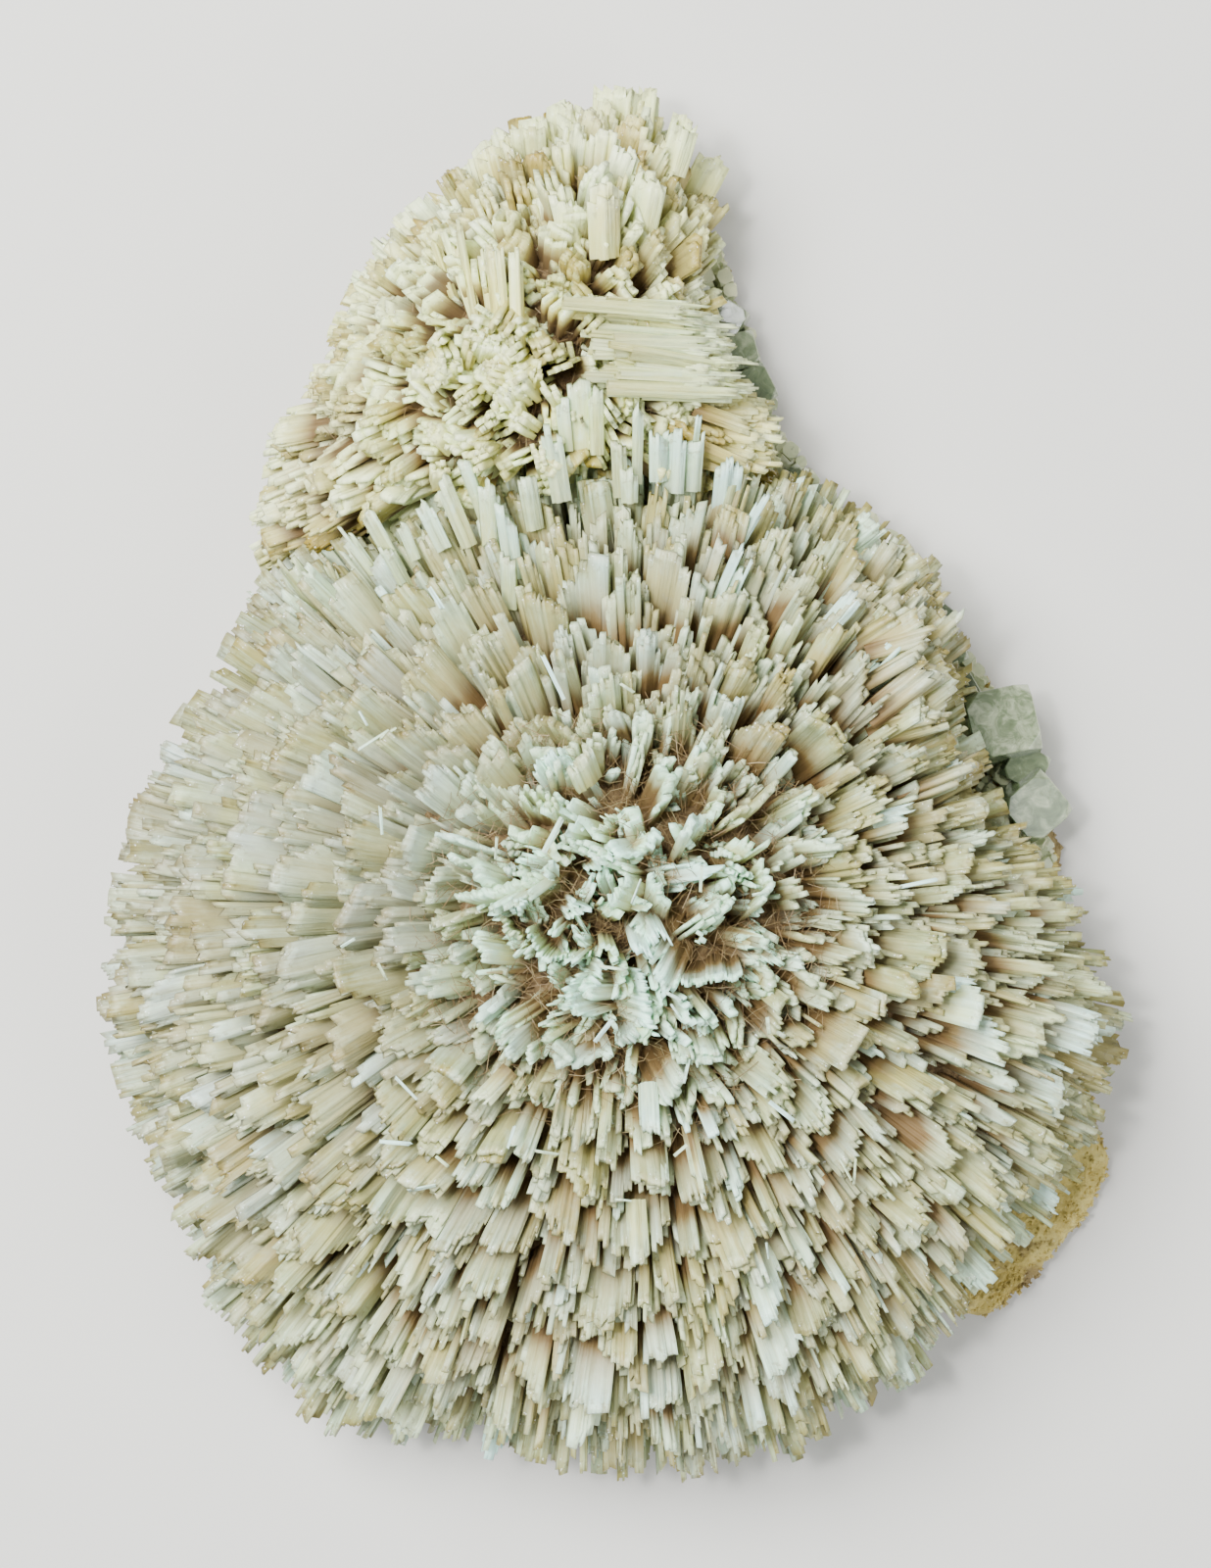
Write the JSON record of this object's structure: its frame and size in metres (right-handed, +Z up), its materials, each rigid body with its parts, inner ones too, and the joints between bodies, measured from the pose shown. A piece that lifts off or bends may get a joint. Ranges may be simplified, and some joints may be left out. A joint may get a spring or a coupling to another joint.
{
  "type": "scolecite spray specimen",
  "caption": "Mineral specimen: a large and a smaller radiating spray of scolecite needles on a flat-backed brown matrix, with pale green apophyllite along one edge.",
  "frame": {"origin": "on the matrix's flat back, straight below the point from which the main spray radiates", "axes": "+Z up through the main spray, away from the flat back; +Y towards the upper spray, the specimen's length; +X towards the edge with the apophyllite"},
  "size_m": [0.1315, 0.1766, 0.0541],
  "materials": {
    "scolecite_cream": "silky needles, cream with a faint green cast, brown between them",
    "scolecite_yellow": "silky needles, a yellower cream",
    "matrix_tan": "matte, rough broken rock",
    "apophyllite_green": "glassy, pale grey-green and see-through"
  },
  "bodies": {
    "root": {"matrix": "matrix_tan", "main_spray": "scolecite_cream", "upper_spray": "scolecite_yellow", "apophyllite_right": "apophyllite_green", "apophyllite_shoulder": "apophyllite_green", "apophyllite_waist": "apophyllite_green", "apophyllite_upper": "apophyllite_green"}
  },
  "joints": []
}
